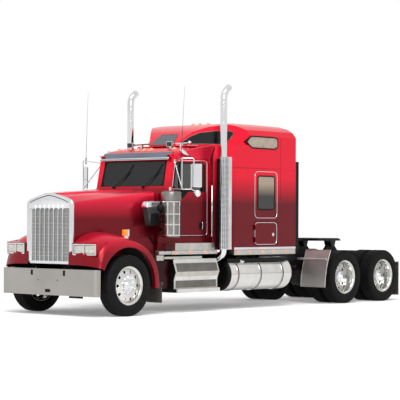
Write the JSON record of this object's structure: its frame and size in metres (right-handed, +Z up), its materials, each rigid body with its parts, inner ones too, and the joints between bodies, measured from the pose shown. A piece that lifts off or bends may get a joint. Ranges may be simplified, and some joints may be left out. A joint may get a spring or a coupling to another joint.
{
  "type": "semi truck tractor unit",
  "caption": "Long-nose semi truck tractor with a tilting hood, day cab with raised-roof sleeper, steered front axle, tandem drive axles and a fifth wheel.",
  "frame": {"origin": "on the ground under the middle of the overall length and width", "axes": "+X to the driver's side, +Y to the rear, +Z up"},
  "size_m": [2.9834, 8.967, 4.1475],
  "materials": {
    "paint": "metallic clear coat",
    "polished": "mirror polish",
    "alloy": "polished",
    "bumper_metal": "satin",
    "black_metal": "satin",
    "cast": "rough",
    "tyre": "matte",
    "rubber": "matte",
    "glass": "clear",
    "amber": "moulded lens",
    "red_lens": "moulded lens",
    "trim": "woven upholstery",
    "dash_plastic": "grained"
  },
  "bodies": {
    "chassis": {"air_cleaners": "alloy", "body_mounts": "black_metal", "cab_boot": "rubber", "cab_shell": "paint", "cab_steps": "alloy", "dashboard": "dash_plastic", "drive_axles": "cast", "driveline": "cast", "engine": "cast", "exhausts": "polished", "fifth_wheel_base": "black_metal", "frame_rails": "black_metal", "front_axle": "black_metal", "front_bumper": "bumper_metal", "front_suspension": "black_metal", "fuel_tanks": "polished", "grab_bars": "polished", "heat_shields": "polished", "marker_lamps": "amber", "mud_flaps": "rubber", "quarter_fenders": "alloy", "radiator": "black_metal", "rear_suspension": "black_metal", "roof_horns": "polished", "seats": "trim", "side_extenders": "rubber", "side_skirts": "alloy", "sleeper_shell": "paint", "sun_visor": "polished", "tail_lamps": "red_lens", "tank_brackets": "black_metal", "window_panes": "glass"},
    "hood": {"hood": "paint", "grille_surround": "polished", "grille_bars": "alloy", "front_lamps": "polished"},
    "left_door": {"door_left": "paint", "door_glass_left": "glass", "mirror_left": "polished"},
    "left_baggage_door": {"baggage_door_left": "paint"},
    "left_knuckle": {"knuckle_left": "cast"},
    "left_front_wheel": {"tyre_front_left": "tyre", "rim_front_left": "alloy"},
    "left_forward_wheels": {"tyres_forward_left": "tyre", "rims_forward_left": "alloy"},
    "left_rearmost_wheels": {"tyres_rearmost_left": "tyre", "rims_rearmost_left": "alloy"},
    "right_door": {"door_right": "paint", "door_glass_right": "glass", "mirror_right": "polished"},
    "right_baggage_door": {"baggage_door_right": "paint"},
    "right_knuckle": {"knuckle_right": "cast"},
    "right_front_wheel": {"tyre_front_right": "tyre", "rim_front_right": "alloy"},
    "right_forward_wheels": {"tyres_forward_right": "tyre", "rims_forward_right": "alloy"},
    "right_rearmost_wheels": {"tyres_rearmost_right": "tyre", "rims_rearmost_right": "alloy"},
    "tie_rod": {"tie_rod": "black_metal"},
    "fifth_wheel": {"fifth_wheel_plate": "black_metal"}
  },
  "joints": [
    {"name": "hood_tilt", "type": "hinge", "parent": "chassis", "child": "hood", "pos_m": [0, -4.4135, 0.87], "axis": [1, 0, 0], "range_deg": [0, 60]},
    {"name": "left_door_swing", "type": "hinge", "parent": "chassis", "child": "left_door", "pos_m": [0.91185, -2.422, 2.06], "axis": [0, 0, -1], "range_deg": [0, 65]},
    {"name": "left_baggage_door_swing", "type": "hinge", "parent": "chassis", "child": "left_baggage_door", "pos_m": [1.222, -0.338, 1.29], "axis": [0, 0, -1], "range_deg": [0, 90]},
    {"name": "left_steer", "type": "hinge", "parent": "chassis", "child": "left_knuckle", "pos_m": [0.93, -3.7085, 0.525], "axis": [0, 0, 1], "range_deg": [-35, 35]},
    {"name": "left_front_wheel_spin", "type": "hinge", "parent": "left_knuckle", "child": "left_front_wheel", "pos_m": [1.087, -3.7085, 0.525], "axis": [1, 0, 0], "continuous": true},
    {"name": "left_forward_wheels_spin", "type": "hinge", "parent": "chassis", "child": "left_forward_wheels", "pos_m": [1, 2.5635, 0.525], "axis": [1, 0, 0], "continuous": true},
    {"name": "left_rearmost_wheels_spin", "type": "hinge", "parent": "chassis", "child": "left_rearmost_wheels", "pos_m": [1, 3.8835, 0.525], "axis": [1, 0, 0], "continuous": true},
    {"name": "right_door_swing", "type": "hinge", "parent": "chassis", "child": "right_door", "pos_m": [-0.91185, -2.422, 2.06], "axis": [0, 0, 1], "range_deg": [0, 65]},
    {"name": "right_baggage_door_swing", "type": "hinge", "parent": "chassis", "child": "right_baggage_door", "pos_m": [-1.222, -0.338, 1.29], "axis": [0, 0, 1], "range_deg": [0, 90]},
    {"name": "right_steer", "type": "hinge", "parent": "chassis", "child": "right_knuckle", "pos_m": [-0.93, -3.7085, 0.525], "axis": [0, 0, 1], "range_deg": [-35, 35]},
    {"name": "right_front_wheel_spin", "type": "hinge", "parent": "right_knuckle", "child": "right_front_wheel", "pos_m": [-1.087, -3.7085, 0.525], "axis": [1, 0, 0], "continuous": true},
    {"name": "right_forward_wheels_spin", "type": "hinge", "parent": "chassis", "child": "right_forward_wheels", "pos_m": [-1, 2.5635, 0.525], "axis": [1, 0, 0], "continuous": true},
    {"name": "right_rearmost_wheels_spin", "type": "hinge", "parent": "chassis", "child": "right_rearmost_wheels", "pos_m": [-1, 3.8835, 0.525], "axis": [1, 0, 0], "continuous": true},
    {"name": "tie_rod_pivot", "type": "hinge", "parent": "left_knuckle", "child": "tie_rod", "pos_m": [0.92, -3.5185, 0.407], "axis": [0, 0, 1], "range_deg": [-35, 35]},
    {"name": "fifth_wheel_tilt", "type": "hinge", "parent": "chassis", "child": "fifth_wheel", "pos_m": [0, 3.1515, 1.15], "axis": [1, 0, 0], "range_deg": [-12, 12]}
  ],
  "couplings": [
    {"joint": "right_steer", "follows": "left_steer", "ratio": 1},
    {"joint": "tie_rod_pivot", "follows": "left_steer", "ratio": -1}
  ]
}
